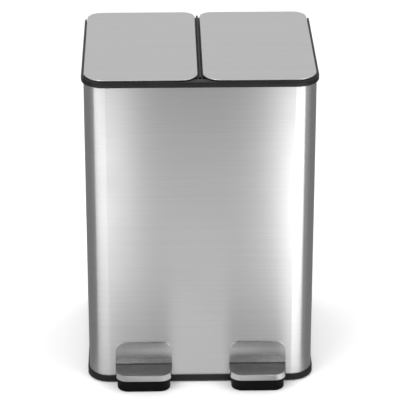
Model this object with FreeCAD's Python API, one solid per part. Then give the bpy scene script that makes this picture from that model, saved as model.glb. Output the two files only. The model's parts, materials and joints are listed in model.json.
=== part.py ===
import FreeCAD, Part
import math
import os

# Double recycling bin: two 30-litre buckets side by side in one brushed steel body.
# Each half has its own lid, and each lid is lifted by its own pedal. A pedal tips a long lever under
# the buckets, the lever lifts a push rod at the rear wall, and the rod lifts a crank on the lid.
#
# All sizes are in millimetres. X runs across, Y from the front to the back and Z up. The solids are
# modelled with Y = 0 on the front face of the steel body, and moved as they are written so that the
# origin is on the floor at the centre of the whole footprint.
# The right half (X > 0) is modelled, and the left half is its mirror image.

# --- Steel body ---------------------------------------------------------------------------------
BODY_WIDTH = 424.0
BODY_DEPTH = 360.0
BODY_FRONT_RADIUS = 40.0
BODY_BACK_RADIUS = 30.0
STEEL = 0.8                   # thickness of the body and lid sheet
FIT = 0.2                     # play where moulded pieces and sheet meet
SEAM_GAP = 0.6
SEAM_STRIP_WIDTH = 30.0

# --- Heights of the body and collar ----------------------------------------------------------------
BASE_LIFT = 2.0               # the base ring hangs this far above the floor
BASE_RING_HEIGHT = 12.2
BASE_RING_OVERHANG = 3.0
BASE_ROUND = 1.2
COLLAR_TOP = 613.8            # top of the black rim
COLLAR_BAND = 10.3            # height of the visible rim at the front and sides
COLLAR_OVERHANG = 4.0
COLLAR_SKIRT = 23.5           # how far the collar reaches down inside the steel
REAR_BAND = 25.8              # height of the deeper rim round the hinges
REAR_BAND_LENGTH = 42.0       # how far it comes forward from the back
HINGE_STEP = 11.0             # the rear of the collar lies this much lower, for the lids to swing
HINGE_STEP_LENGTH = 35.0
WALL = 2.4                    # walls of the moulded collar and base
LEDGE_DEPTH = 6.8             # from the rim's top down to the ledge under the lids
SHELL_COVER = 2.8             # the rim covers the steel's top edge by this much
SHELL_COVER_REAR = 3.8
CHANNEL_WALL = 1.8            # rim left standing behind the hinge channel
DECK = 3.0                    # thickness of the channel's floor
BAR_WIDTH = 4.0               # centre bar between the lids
BAR_DROP = 1.6                # it lies this much below the rim
BAR_ROUND = 0.8
BAR_SETBACK = 27.0            # from the front of the steel body to the bar's front end
WEB_REACH = 12.0              # from there to the edge of the web between the lids' front corners
RIM_ROUND = 3.0
RIM_UNDER_ROUND = 1.2

# --- Lids ------------------------------------------------------------------------------------------
LID_RISE = 3.2                # the lids stand this much above the rim
LID_MARGIN = 5.0              # from the rim's outside to the lid
LID_BACK_MARGIN = 6.5
LID_GAP = 9.5                 # between the two lids, over the centre bar
LID_PLAY = 1.2                # round each lid
LID_OUTER_FRONT_RADIUS = 39.0
LID_INNER_FRONT_RADIUS = 33.0
LID_OUTER_BACK_RADIUS = 28.0
LID_INNER_BACK_RADIUS = 24.0
LID_EDGE_HEIGHT = 2.1
LID_EDGE_ROUND = 1.6
LID_FRAME_TOP = 2.2           # plate of the moulded frame under the steel panel
LID_FRAME_WALL = 2.2
LID_LIFT = 1.2                # the frame's wall stands this far above the ledge, on its bumpers
LID_SEAL = 2.0                # wall across the frame behind the bucket, which keeps the smell in
LID_SEAL_INSET = 1.2          # from the ledge's rear edge
LID_RIB = 1.6                 # stiffening ribs under the frame's plate
LID_RIB_HEIGHT = 3.2
LID_RIB_ROWS = 3
LID_RIB_COLUMNS = 2
BUMPER_LENGTH = 12.0
REST_GAP = 0.3                # between pieces that only touch when they are pressed together

# --- Hinges and cranks -----------------------------------------------------------------------------
LID_OPENING = 78.0            # degrees
HINGE_DROP = 8.0              # from the lid's top down to the hinge axis
HINGE_INSET = 7.0             # from the lid's back edge forward to the hinge axis
HINGE_END = 41.0              # from the lid's side edge to the middle of the nearer hinge
PIN_RADIUS = 2.0
KNUCKLE_RADIUS = 4.0
KNUCKLE_WIDTH = 24.0
EAR_WIDTH = 6.0
EAR_PLAY = 0.5
NOTCH_PLAY = 1.0              # between an ear's outside and the lid's frame
RUNNING_FIT = 0.05            # radial play of a turning or sliding fit
SEAT_FIT = 0.02               # radial play of a pin that stays in its seat
CRANK = 18.0                  # from the hinge axis to the crank's nose
CRANK_WIDTH = 8.0
GUSSET_START = 0.6            # the gusset begins this share of the way up to the hinge axis
WELL_PLAY = 4.0               # beside the crank in its well
WELL_FRONT_PLAY = 1.0         # before the push rod's tip
WELL_SETBACK = 0.5            # from the well's rear wall forward to the hinge axis
NOSE_RADIUS = 4.0
NOSE_GAP = 0.8                # the nose rises from its chord while it turns, so it starts clear

# --- Buckets ---------------------------------------------------------------------------------------
OPENING_SIDE = 15.0           # from the rim's outside to the bucket opening
OPENING_FRONT = 13.0
OPENING_BACK = 44.0
OPENING_MIDDLE = 12.0         # from the middle of the bin to the bucket opening
OPENING_RADIUS = 25.0
OPENING_WALL = 3.0
SEAT_DEPTH = 4.2              # from the ledge down to the bucket's seat
SEAT_WIDTH = 4.5
BUCKET_RIM = 3.0
BUCKET_PLAY = 1.5
BUCKET_WALL = 2.0
BUCKET_FLOOR = 2.5
BUCKET_FLOOR_HEIGHT = 76.0
BUCKET_TAPER = 12.0
BUCKET_CORNER_TAPER = 0.6     # the corner radii shrink by this share of the taper
BUCKET_HEEL = 6.0
HAND_HOLE_LENGTH = 92.0
HAND_HOLE_HEIGHT = 24.0
HAND_HOLE_DROP = 34.0         # from the bucket's rim down to the hand-hole

# --- Pedals and their levers -------------------------------------------------------------------------
PEDAL_WIDTH = 107.0
PEDAL_REACH = 45.0            # in front of the steel body
PEDAL_STEEL = 1.2
TREAD_FRONT_HEIGHT = 36.5
TREAD_BACK_HEIGHT = 40.0
LIP_HEIGHT = 11.8
FLANGE_TOP = 84.5
FLANGE_PROUD = 3.2            # outer face of the upright flange, in front of the steel body
FLANGE_CLEARANCE = 0.5
TREAD_RADIUS = 24.0
FLANGE_RADIUS = 20.0
TREAD_EDGE_ROUND = 1.6
CREASE_WIDTH = 2.2            # pressed line where the tread meets the flange
CREASE_DEPTH = 0.6
ARM_WIDTH = 26.0
ARM_STEEL = 2.0
ARM_TOP = 32.0
ARM_DEPTH = 8.0               # depth of its webs at the ends
ARM_DEPTH_MIDDLE = 10.0       # and where they start to deepen
ARM_DEEP_REACH = 72.0         # which is this far from the axle
ARM_DROP_PIVOT = 10.0         # from the axle's middle down to the webs' edge
ARM_TAIL = 10.0               # past the push rod
PIVOT_SETBACK = 87.0          # from the front of the steel body to the axle
PIVOT_HEIGHT = 26.0
AXLE_RADIUS = 4.0
BUSH_WALL = 2.0
BUSH_FLANGE_RADIUS = 8.0
BUSH_FLANGE = 1.4
SLOT_PLAY = 3.0               # round the arm where it leaves the body
RIVET_RADIUS = 2.5
RIVET_HEAD_RADIUS = 4.5
RIVET_HEAD = 1.4
RIVET_SEAT = 1.6              # thickness of the bracket's floor under a rivet's head
RIVET_SPACING = 13.0
BRACKET_PLAY = 1.0            # the bracket sinks into the stabiliser with this much play

# --- Axle bearings ---------------------------------------------------------------------------------
BEARING_WIDTH = 8.0
BEARING_LENGTH = 24.0
BEARING_CAP = 9.0
BEARING_PLAY = 0.6            # beside the bushes
SCREW_RADIUS = 1.5
SCREW_HOLE_PLAY = 0.05
SCREW_HEAD_RADIUS = 3.0
SCREW_HEAD = 2.0
SCREW_EDGE = 0.5              # left beside a screw's head
SCREW_BITE = 2.0              # a screw's point stays this far above the base's floor
CLIP_RADIUS = 7.0
CLIP_THICKNESS = 1.0

# --- Push rods and their guides ----------------------------------------------------------------------
ROD_RADIUS = 3.0
ROD_FOOT_RADIUS = 5.5
ROD_FOOT_HEIGHT = 15.0
ROD_FOOT_GAP = 0.5
ROD_TIP_RADIUS = 6.0
ROD_TIP_HEIGHT = 6.0
ROD_TIP_ROUND = 1.0
ROD_SOCKET = 4.0              # depth of the sockets in the rod's foot and tip
GUIDE_LEG = 4.0
GUIDE_BRIDGE = 10.0
GUIDE_LENGTH = 20.0
GUIDE_CLEARANCE = 5.0

# --- Base tray and feet --------------------------------------------------------------------------------
TRAY_FLOOR = 2.5
TRAY_FLOOR_HEIGHT = 6.0
TRAY_WALL_TOP = 45.0
TRAY_SEAT = 0.5               # the steel stands this far above the base's floor
RIB_HEIGHT = 10.0
RIB_THICKNESS = 2.0
RIB_PITCH = 52.0
FOOT_WIDTH = 100.0            # black stabiliser under each pedal
FOOT_REACH = 40.5
FOOT_HEIGHT = 22.6
FOOT_WALL = 3.0
FOOT_RADIUS = 21.0
FOOT_ROUND = 2.4
FOOT_TOP_ROUND = 0.8
FOOT_BACK_RADIUS = 1.0
TONGUE_REACH = 44.0           # how far its tongue reaches under the base
TONGUE_WIDTH = 80.0
TONGUE_THICKNESS = 2.0
TONGUE_PAD_WIDTH = 70.0       # raised part of the tongue, against the base
TONGUE_SCREW_SPACING = 50.0
TONGUE_SCREW_INSET = 14.0
TONGUE_SCREW_SINK = 0.5
PAD_RADIUS = 11.0
PAD_ROUND = 0.8
PAD_INSET = 34.0              # rubber feet, from the sides of the body

# --- Worked out from the above -------------------------------------------------------------------------
BODY_BOX = (-BODY_WIDTH / 2, BODY_WIDTH / 2, 0.0, BODY_DEPTH)
BODY_RADII = (BODY_FRONT_RADIUS, BODY_FRONT_RADIUS, BODY_BACK_RADIUS, BODY_BACK_RADIUS)
TOTAL_DEPTH = PEDAL_REACH + BODY_DEPTH + COLLAR_OVERHANG
FRONT_FACE_Y = PEDAL_REACH - TOTAL_DEPTH / 2

RIM_HALF_WIDTH = BODY_WIDTH / 2 + COLLAR_OVERHANG
RIM_BACK = BODY_DEPTH + COLLAR_OVERHANG
COLLAR_BOTTOM = COLLAR_TOP - COLLAR_BAND
REAR_BOTTOM = COLLAR_TOP - REAR_BAND
REAR_TOP = COLLAR_TOP - HINGE_STEP
SKIRT_BOTTOM = COLLAR_BOTTOM - COLLAR_SKIRT
REAR_BAND_Y = RIM_BACK - REAR_BAND_LENGTH
STEP_Y = RIM_BACK - HINGE_STEP_LENGTH
SHELL_EDGE_Y = (REAR_BAND_Y + STEP_Y) / 2
SHELL_TOP = COLLAR_TOP - SHELL_COVER
SHELL_REAR_TOP = REAR_TOP - SHELL_COVER_REAR
LEDGE = COLLAR_TOP - LEDGE_DEPTH
CHANNEL_FLOOR = REAR_TOP - CHANNEL_WALL
CAVITY_TOP = CHANNEL_FLOOR - DECK
BAR_TOP = COLLAR_TOP - BAR_DROP
LID_TOP = COLLAR_TOP + LID_RISE

LID_BOX = (LID_GAP / 2, RIM_HALF_WIDTH - LID_MARGIN, LID_MARGIN - COLLAR_OVERHANG + 0.5,
           RIM_BACK - LID_BACK_MARGIN)
LID_RADII = (LID_INNER_FRONT_RADIUS, LID_OUTER_FRONT_RADIUS, LID_OUTER_BACK_RADIUS,
             LID_INNER_BACK_RADIUS)
LID_X = (LID_BOX[0] + LID_BOX[1]) / 2
HINGE_PLACES = (LID_BOX[0] + HINGE_END, LID_BOX[1] - HINGE_END)
LID_FRAME_BOTTOM = LEDGE + LID_LIFT

HINGE_Y = LID_BOX[3] - HINGE_INSET
HINGE_Z = LID_TOP - HINGE_DROP
HALF_SWING = math.radians(LID_OPENING / 2)
NOSE_Y = HINGE_Y - CRANK * math.cos(HALF_SWING)
NOSE_Z = HINGE_Z - CRANK * math.sin(HALF_SWING)
ROD_X = LID_X
ROD_Y = HINGE_Y - CRANK * (1 + math.cos(HALF_SWING)) / 2
ROD_TOP = NOSE_Z - NOSE_RADIUS - NOSE_GAP
ROD_LIFT = 2 * CRANK * math.sin(HALF_SWING)

OPENING_BOX = (OPENING_MIDDLE, RIM_HALF_WIDTH - OPENING_SIDE, OPENING_FRONT - COLLAR_OVERHANG,
               RIM_BACK - OPENING_BACK)
OPENING_RADII = (OPENING_RADIUS,) * 4
SEAT = LEDGE - SEAT_DEPTH
BUCKET_TOP = SEAT + BUCKET_RIM

TRAY_TOP = TRAY_FLOOR_HEIGHT + TRAY_FLOOR
RING_TOP = BASE_LIFT + BASE_RING_HEIGHT
SHELL_BOTTOM = TRAY_TOP + TRAY_SEAT
PEDAL_X = LID_X
PEDAL_ANGLE = math.degrees(math.asin(ROD_LIFT / (ROD_Y - PIVOT_SETBACK)))
BEARING_GAP = ARM_WIDTH / 2 + BUSH_FLANGE + BEARING_PLAY
SCREW_OFFSET = BEARING_LENGTH / 2 - SCREW_HEAD_RADIUS - SCREW_EDGE
RIVET_TOP = ARM_TOP + RIVET_SEAT
SLOT_HALF_WIDTH = ARM_WIDTH / 2 + SLOT_PLAY
SLOT_TOP = ARM_TOP + 2 * SLOT_PLAY
BRACKET_FRONT = -FOOT_REACH + FOOT_WALL + BRACKET_PLAY
FAR = 1000.0                  # past every face of the bin
BITE = 1.0                    # pieces of one moulding run this far into each other before they are joined


# --- Small helpers -------------------------------------------------------------------------------------
def vec(x, y, z):
    return FreeCAD.Vector(x, y, z)


def grow(box, amount):
    """The rectangle (x0, x1, y0, y1) moved outwards by amount on every side."""
    return (box[0] - amount, box[1] + amount, box[2] - amount, box[3] + amount)


def grow_radii(radii, amount):
    return tuple(radius + amount for radius in radii)


def outline(box, radii, z):
    """A closed wire at height z. The radii go front left, front right, back right, back left."""
    x0, x1, y0, y1 = box
    front_left, front_right, back_right, back_left = radii
    corners = ((x0 + front_left, y0 + front_left, front_left, 180),
               (x1 - front_right, y0 + front_right, front_right, 270),
               (x1 - back_right, y1 - back_right, back_right, 0),
               (x0 + back_left, y1 - back_left, back_left, 90))
    arcs = []
    for cx, cy, radius, start in corners:
        turns = [math.radians(start + step) for step in (0, 45, 90)]
        points = [vec(cx + radius * math.cos(a), cy + radius * math.sin(a), z) for a in turns]
        arcs.append(Part.Arc(*points).toShape())
    edges = []
    for arc, following in zip(arcs, arcs[1:] + arcs[:1]):
        edges.append(arc)
        start, end = arc.Vertexes[-1].Point, following.Vertexes[0].Point
        if start.distanceToPoint(end) > 1e-6:
            edges.append(Part.LineSegment(start, end).toShape())
    return Part.Wire(edges)


def slab(box, radii, z0, z1):
    return Part.Face(outline(box, radii, z0)).extrude(vec(0, 0, z1 - z0))


def ring(box, radii, inset, z0, z1):
    """A wall of thickness inset, inside the given outline."""
    inner = slab(grow(box, -inset), grow_radii(radii, -inset), z0, z1)
    return slab(box, radii, z0, z1).cut(inner)


def block(x0, x1, y0, y1, z0, z1):
    return Part.makeBox(x1 - x0, y1 - y0, z1 - z0, vec(x0, y0, z0))


def post(x, y, z0, z1, radius):
    return Part.makeCylinder(radius, z1 - z0, vec(x, y, z0), vec(0, 0, 1))


def cross_bar(x0, x1, y, z, radius):
    return Part.makeCylinder(radius, x1 - x0, vec(x0, y, z), vec(1, 0, 0))


def side_plate(points, x0, x1):
    """A plate seen from the side: (y, z) points, extruded from x0 to x1."""
    corners = [vec(x0, y, z) for y, z in points]
    return Part.Face(Part.makePolygon(corners + corners[:1])).extrude(vec(x1 - x0, 0, 0))


def join(shapes):
    return shapes[0].multiFuse(shapes[1:]).removeSplitter()


def round_level(shape, z, radius):
    """Round every edge that lies flat at height z."""
    edges = [e for e in shape.Edges if abs(e.BoundBox.ZMin - z) < 1e-4 and abs(e.BoundBox.ZMax - z) < 1e-4]
    return shape.makeFillet(radius, edges)


def mirrored(shape):
    return shape.mirror(vec(0, 0, 0), vec(1, 0, 0))


def both_sides(shape):
    return [shape, mirrored(shape)]


# --- Steel body ------------------------------------------------------------------------------------------
def outer_shell():
    """One sheet wrapped to a rounded box, butted at the middle of the back."""
    sheet = ring(BODY_BOX, BODY_RADII, STEEL, SHELL_BOTTOM, SHELL_TOP)
    cuts = [block(-FAR, FAR, SHELL_EDGE_Y, FAR, SHELL_REAR_TOP, FAR),
            block(-SEAM_GAP / 2, SEAM_GAP / 2, BODY_DEPTH / 2, FAR, 0, FAR)]
    slot = block(PEDAL_X - SLOT_HALF_WIDTH, PEDAL_X + SLOT_HALF_WIDTH, -STEEL, 2 * STEEL, 0, SLOT_TOP)
    return sheet.cut(cuts + both_sides(slot))


def seam_strip():
    """Backing strip that joins the two ends of the sheet inside."""
    back = BODY_DEPTH - STEEL
    return block(-SEAM_STRIP_WIDTH / 2, SEAM_STRIP_WIDTH / 2, back - STEEL, back,
                 TRAY_WALL_TOP + FIT, SKIRT_BOTTOM - FIT)


# --- Top collar ------------------------------------------------------------------------------------------
def collar_blank():
    """The rim and its deck with the groove for the steel, before any pocket is cut."""
    rim_box = grow(BODY_BOX, COLLAR_OVERHANG)
    rim_radii = grow_radii(BODY_RADII, COLLAR_OVERHANG)
    band = slab(rim_box, rim_radii, COLLAR_BOTTOM, COLLAR_TOP)
    band = round_level(round_level(band, COLLAR_TOP, RIM_ROUND), COLLAR_BOTTOM, RIM_UNDER_ROUND)
    housing = slab(rim_box, rim_radii, REAR_BOTTOM, COLLAR_TOP)
    housing = round_level(round_level(housing, COLLAR_TOP, RIM_ROUND), REAR_BOTTOM, RIM_UNDER_ROUND)
    housing = housing.cut(block(-FAR, FAR, -FAR, REAR_BAND_Y, 0, FAR))
    inset = STEEL + FIT
    core = slab(grow(BODY_BOX, -inset), grow_radii(BODY_RADII, -inset), SKIRT_BOTTOM, COLLAR_BOTTOM + BITE)
    blank = join([band, housing, core])
    blank = blank.cut(block(-FAR, FAR, STEP_Y, FAR, REAR_TOP, FAR))
    groove = ring(grow(BODY_BOX, FIT), grow_radii(BODY_RADII, FIT), STEEL + 2 * FIT, 0, SHELL_TOP + FIT)
    return blank.cut(groove.cut(block(-FAR, FAR, SHELL_EDGE_Y + FIT, FAR, SHELL_REAR_TOP + FIT, FAR)))


def collar_pockets():
    """What is cut on the right: the lid's recess, hinge channel, bucket opening and bucket seat."""
    recess = slab(grow(LID_BOX, LID_PLAY), grow_radii(LID_RADII, LID_PLAY), LEDGE, FAR)
    recess = recess.cut(block(-FAR, FAR, STEP_Y, FAR, 0, FAR))
    channel_box = (LID_BOX[0] - LID_PLAY, LID_BOX[1] + LID_PLAY, LID_BOX[2], RIM_BACK - WALL)
    channel_radii = grow_radii(LID_RADII, LID_PLAY)[:2] + (BODY_BACK_RADIUS, LID_INNER_BACK_RADIUS)
    channel = slab(channel_box, channel_radii, CHANNEL_FLOOR, FAR)
    channel = channel.cut(block(-FAR, FAR, -FAR, STEP_Y, 0, FAR))
    opening = slab(OPENING_BOX, OPENING_RADII, 0, FAR)
    seat = slab(grow(OPENING_BOX, SEAT_WIDTH), grow_radii(OPENING_RADII, SEAT_WIDTH), SEAT, FAR)
    return [recess, channel, opening, seat]


def collar_cavity():
    """The hollow under the deck, between the outer skirt and the walls of the two openings."""
    inset = STEEL + FIT + WALL
    cavity = slab(grow(BODY_BOX, -inset), grow_radii(BODY_RADII, -inset), 0, CAVITY_TOP)
    walls = slab(grow(OPENING_BOX, OPENING_WALL), grow_radii(OPENING_RADII, OPENING_WALL), 0, FAR)
    return cavity.cut(both_sides(walls))


def crank_well():
    """The well that the push rod's tip and the lid's crank move in, with the rod's upper guide."""
    half = CRANK_WIDTH / 2 + WELL_PLAY
    front = ROD_Y - ROD_TIP_RADIUS - WELL_FRONT_PLAY
    back = HINGE_Y - WELL_SETBACK
    outside = block(ROD_X - half - WALL, ROD_X + half + WALL, front - WALL, back + WALL,
                    SKIRT_BOTTOM - OPENING_WALL, CAVITY_TOP + BITE)
    inside = block(ROD_X - half, ROD_X + half, front, back, SKIRT_BOTTOM, FAR)
    bore = post(ROD_X, ROD_Y, 0, FAR, ROD_RADIUS + RUNNING_FIT)
    return outside, [inside, bore]


def hinge_ears():
    """Two ears at each hinge of the right lid, on the floor of the hinge channel."""
    ears = []
    for x in HINGE_PLACES:
        for side in (-1, 1):
            near = x + side * (KNUCKLE_WIDTH / 2 + EAR_PLAY)
            x0, x1 = sorted((near, near + side * EAR_WIDTH))
            foot = block(x0, x1, HINGE_Y - KNUCKLE_RADIUS, HINGE_Y + KNUCKLE_RADIUS, CAVITY_TOP, HINGE_Z)
            eye = cross_bar(x0, x1, HINGE_Y, HINGE_Z, KNUCKLE_RADIUS)
            ears.append(foot.fuse(eye))
    bore = cross_bar(LID_BOX[0], LID_BOX[1], HINGE_Y, HINGE_Z, PIN_RADIUS + SEAT_FIT)
    return [ear.cut(bore) for ear in ears]


def centre_bar():
    """Rib between the two lids, rounded along its top."""
    bar = block(-BAR_WIDTH / 2, BAR_WIDTH / 2, BAR_SETBACK, HINGE_Y, CAVITY_TOP, BAR_TOP)
    edges = [e for e in bar.Edges if abs(e.CenterOfMass.z - BAR_TOP) < 1e-4]
    return bar.makeFillet(BAR_ROUND, edges)


def top_collar():
    well, well_cuts = crank_well()
    cuts = [block(-LID_BOX[0], LID_BOX[0], BAR_SETBACK, STEP_Y, LEDGE, FAR),
            block(-OPENING_MIDDLE, OPENING_MIDDLE, WEB_REACH, BAR_SETBACK + BITE, LEDGE, FAR)]
    for cut in collar_pockets():
        cuts += both_sides(cut)
    blank = collar_blank().cut(cuts).cut(collar_cavity())
    added = [centre_bar()] + both_sides(well)
    for ear in hinge_ears():
        added += both_sides(ear)
    collar = join([blank] + added)
    for cut in well_cuts:
        collar = collar.cut(both_sides(cut))
    return collar


def hinge_pins():
    half = KNUCKLE_WIDTH / 2 + EAR_PLAY + EAR_WIDTH
    pins = []
    for x in HINGE_PLACES:
        pins += both_sides(cross_bar(x - half, x + half, HINGE_Y, HINGE_Z, PIN_RADIUS))
    return Part.makeCompound(pins)


# --- Lids ----------------------------------------------------------------------------------------------------
def lid_panel():
    """Steel sheet with a rounded edge, turned down all round."""
    bottom = LID_TOP - LID_EDGE_HEIGHT
    outside = round_level(slab(LID_BOX, LID_RADII, bottom, LID_TOP), LID_TOP, LID_EDGE_ROUND)
    inner_round = LID_EDGE_ROUND - STEEL
    inside = slab(grow(LID_BOX, -STEEL), grow_radii(LID_RADII, -STEEL), bottom, LID_TOP - STEEL)
    return outside.cut(round_level(inside, LID_TOP - STEEL, inner_round))


def lid_crank():
    """Crank that hangs from the frame, with a rounded nose over the push rod and a gusset behind."""
    top = LID_TOP - STEEL - LID_FRAME_TOP
    gusset = NOSE_Z + (HINGE_Z - NOSE_Z) * GUSSET_START
    front, back = NOSE_Y - NOSE_RADIUS, NOSE_Y + NOSE_RADIUS
    points = [(front, top + BITE), (front, NOSE_Z), (back, NOSE_Z), (back, gusset),
              (HINGE_Y + KNUCKLE_RADIUS, top - 2 * BITE), (HINGE_Y + KNUCKLE_RADIUS, top + BITE)]
    plate = side_plate(points, LID_X - CRANK_WIDTH / 2, LID_X + CRANK_WIDTH / 2)
    nose = cross_bar(LID_X - CRANK_WIDTH / 2, LID_X + CRANK_WIDTH / 2, NOSE_Y, NOSE_Z, NOSE_RADIUS)
    return plate.fuse(nose)


def lid_ribs(box, under):
    """The wall behind the bucket and the stiffening ribs, down from the frame's plate."""
    seal_y = STEP_Y - LID_SEAL_INSET - LID_SEAL
    top, bottom = under + BITE, under - LID_RIB_HEIGHT
    ribs = [block(box[0], box[1], seal_y, seal_y + LID_SEAL, LID_FRAME_BOTTOM, top)]
    for row in range(1, LID_RIB_ROWS + 1):
        y = box[2] + (seal_y - box[2]) * row / (LID_RIB_ROWS + 1)
        ribs.append(block(box[0], box[1], y - LID_RIB / 2, y + LID_RIB / 2, bottom, top))
    for column in range(1, LID_RIB_COLUMNS + 1):
        x = box[0] + (box[1] - box[0]) * column / (LID_RIB_COLUMNS + 1)
        ribs.append(block(x - LID_RIB / 2, x + LID_RIB / 2, box[2], seal_y + LID_SEAL, bottom, top))
    return ribs


def lid_frame():
    """Moulded frame under the panel, with its ribs, the knuckles and the crank."""
    inset = STEEL + FIT
    top = LID_TOP - STEEL
    under = top - LID_FRAME_TOP
    box, radii = grow(LID_BOX, -inset), grow_radii(LID_RADII, -inset)
    plate = round_level(slab(box, radii, LID_FRAME_BOTTOM, top), top, LID_EDGE_ROUND - STEEL + FIT)
    hollow = slab(grow(box, -LID_FRAME_WALL), grow_radii(radii, -LID_FRAME_WALL), 0, under)
    frame = plate.cut(hollow)
    inner = grow(box, -LID_FRAME_WALL / 2)
    half = KNUCKLE_WIDTH / 2
    notch_half = half + EAR_PLAY + EAR_WIDTH + NOTCH_PLAY
    parts, notches, bores = [lid_crank()] + lid_ribs(inner, under), [], []
    for x in HINGE_PLACES:
        notches.append(block(x - notch_half, x + notch_half, HINGE_Y, FAR, 0, under))
        web = block(x - half, x + half, HINGE_Y - KNUCKLE_RADIUS, HINGE_Y + KNUCKLE_RADIUS,
                    HINGE_Z, under + BITE)
        parts.append(web.fuse(cross_bar(x - half, x + half, HINGE_Y, HINGE_Z, KNUCKLE_RADIUS)))
        bores.append(cross_bar(x - half, x + half, HINGE_Y, HINGE_Z, PIN_RADIUS + RUNNING_FIT))
    return join([frame.cut(notches)] + parts).cut(bores)


def lid_bumpers():
    """Soft pads under the frame's wall, just clear of the ledge: two in front and one at each side."""
    inset = STEEL + FIT
    box = grow(LID_BOX, -inset)
    middle = LID_FRAME_WALL / 2
    half, thin = BUMPER_LENGTH / 2, LID_FRAME_WALL / 2 - FIT
    z0, z1 = LEDGE + REST_GAP, LID_FRAME_BOTTOM
    pads = []
    for x in HINGE_PLACES:
        pads.append(block(x - half, x + half, box[2] + middle - thin, box[2] + middle + thin, z0, z1))
    for x in (box[0] + middle, box[1] - middle):
        pads.append(block(x - thin, x + thin, BODY_DEPTH / 2 - half, BODY_DEPTH / 2 + half, z0, z1))
    return Part.makeCompound(pads)


# --- Buckets -------------------------------------------------------------------------------------------------
def bucket_outline(z, inset):
    """Outline of the tapered bucket at height z, moved inwards by inset."""
    share = (BUCKET_TOP - z) / (BUCKET_TOP - BUCKET_FLOOR_HEIGHT)
    shrink = BUCKET_PLAY + BUCKET_TAPER * share + inset
    return outline(grow(OPENING_BOX, -shrink), grow_radii(OPENING_RADII, -shrink * BUCKET_CORNER_TAPER), z)


def bucket_form(floor, top, inset):
    """Tapered body with a sloping heel all round its floor."""
    wires = [bucket_outline(floor, inset + BUCKET_HEEL / 2), bucket_outline(floor + BUCKET_HEEL, inset),
             bucket_outline(top, inset)]
    return Part.makeLoft(wires, True, True)


def bucket():
    body = bucket_form(BUCKET_FLOOR_HEIGHT, BUCKET_TOP - BUCKET_RIM / 2, 0)
    spread = SEAT_WIDTH - FIT
    rim = slab(grow(OPENING_BOX, spread), grow_radii(OPENING_RADII, spread), SEAT, BUCKET_TOP)
    rim = round_level(rim, BUCKET_TOP, BUCKET_RIM / 3)
    hollow = bucket_form(BUCKET_FLOOR_HEIGHT + BUCKET_FLOOR, BUCKET_TOP + BITE, BUCKET_WALL)
    middle = (OPENING_BOX[2] + OPENING_BOX[3]) / 2
    top = BUCKET_TOP - HAND_HOLE_DROP
    radius = HAND_HOLE_HEIGHT / 2
    slot = block(-FAR, FAR, middle - HAND_HOLE_LENGTH / 2 + radius, middle + HAND_HOLE_LENGTH / 2 - radius,
                 top - HAND_HOLE_HEIGHT, top)
    ends = [cross_bar(-FAR, FAR, middle + side * (HAND_HOLE_LENGTH / 2 - radius), top - radius, radius)
            for side in (-1, 1)]
    return body.fuse(rim).cut(hollow).cut([slot] + ends)


# --- Base tray and feet ------------------------------------------------------------------------------------------
def bearing_places():
    """Middle of each of the right pedal's two bearings."""
    offset = BEARING_GAP + BEARING_WIDTH / 2
    return (PEDAL_X - offset, PEDAL_X + offset)


def screw_holes(x, z0, z1):
    radius = SCREW_RADIUS + SCREW_HOLE_PLAY
    return [post(x, PIVOT_SETBACK + side * SCREW_OFFSET, z0, z1, radius) for side in (-1, 1)]


def bearing(x, z0, z1):
    """Half a bearing between z0 and z1, with its seat for the axle."""
    half_x, half_y = BEARING_WIDTH / 2, BEARING_LENGTH / 2
    body = block(x - half_x, x + half_x, PIVOT_SETBACK - half_y, PIVOT_SETBACK + half_y, z0, z1)
    return body.cut(cross_bar(x - half_x, x + half_x, PIVOT_SETBACK, PIVOT_HEIGHT, AXLE_RADIUS + SEAT_FIT))


def base_tray():
    """Black ring, floor and inner wall in one moulding, with the lower halves of the bearings."""
    ring_box = grow(BODY_BOX, BASE_RING_OVERHANG)
    ring_radii = grow_radii(BODY_RADII, BASE_RING_OVERHANG)
    inset = STEEL + FIT
    wall_box, wall_radii = grow(BODY_BOX, -inset), grow_radii(BODY_RADII, -inset)
    inner_box, inner_radii = grow(wall_box, -WALL), grow_radii(wall_radii, -WALL)
    skirt = slab(ring_box, ring_radii, BASE_LIFT, RING_TOP)
    skirt = round_level(round_level(skirt, RING_TOP, BASE_ROUND), BASE_LIFT, BASE_ROUND)
    wall = slab(wall_box, wall_radii, TRAY_FLOOR_HEIGHT, TRAY_WALL_TOP)
    tray = skirt.fuse(wall).cut([slab(inner_box, inner_radii, TRAY_TOP, FAR),
                                 slab(inner_box, inner_radii, 0, TRAY_FLOOR_HEIGHT)])
    groove = ring(grow(BODY_BOX, FIT), grow_radii(BODY_RADII, FIT), STEEL + 2 * FIT, SHELL_BOTTOM, FAR)
    slot = block(PEDAL_X - SLOT_HALF_WIDTH, PEDAL_X + SLOT_HALF_WIDTH, -FAR, inner_box[2] + WALL,
                 TRAY_TOP, FAR)
    tray = tray.cut([groove] + both_sides(slot))
    ribs = []
    count = int((BODY_DEPTH / 2) // RIB_PITCH)
    for step in range(-count, count + 1):
        y = BODY_DEPTH / 2 + step * RIB_PITCH
        if abs(y - PIVOT_SETBACK) > BEARING_LENGTH / 2 + RIB_THICKNESS:
            half = PEDAL_X - SLOT_HALF_WIDTH - GUIDE_LEG - WALL
            ribs.append(block(-half, half, y, y + RIB_THICKNESS, TRAY_TOP - BITE, TRAY_TOP + RIB_HEIGHT))
    spine = block(-RIB_THICKNESS / 2, RIB_THICKNESS / 2, inner_box[2], inner_box[3], TRAY_TOP - BITE,
                  TRAY_TOP + RIB_HEIGHT)
    halves = []
    for x in bearing_places():
        lower = bearing(x, TRAY_TOP - BITE, PIVOT_HEIGHT)
        halves += both_sides(lower.cut(screw_holes(x, TRAY_TOP, PIVOT_HEIGHT)))
    return join([tray, spine] + ribs + halves)


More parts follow.
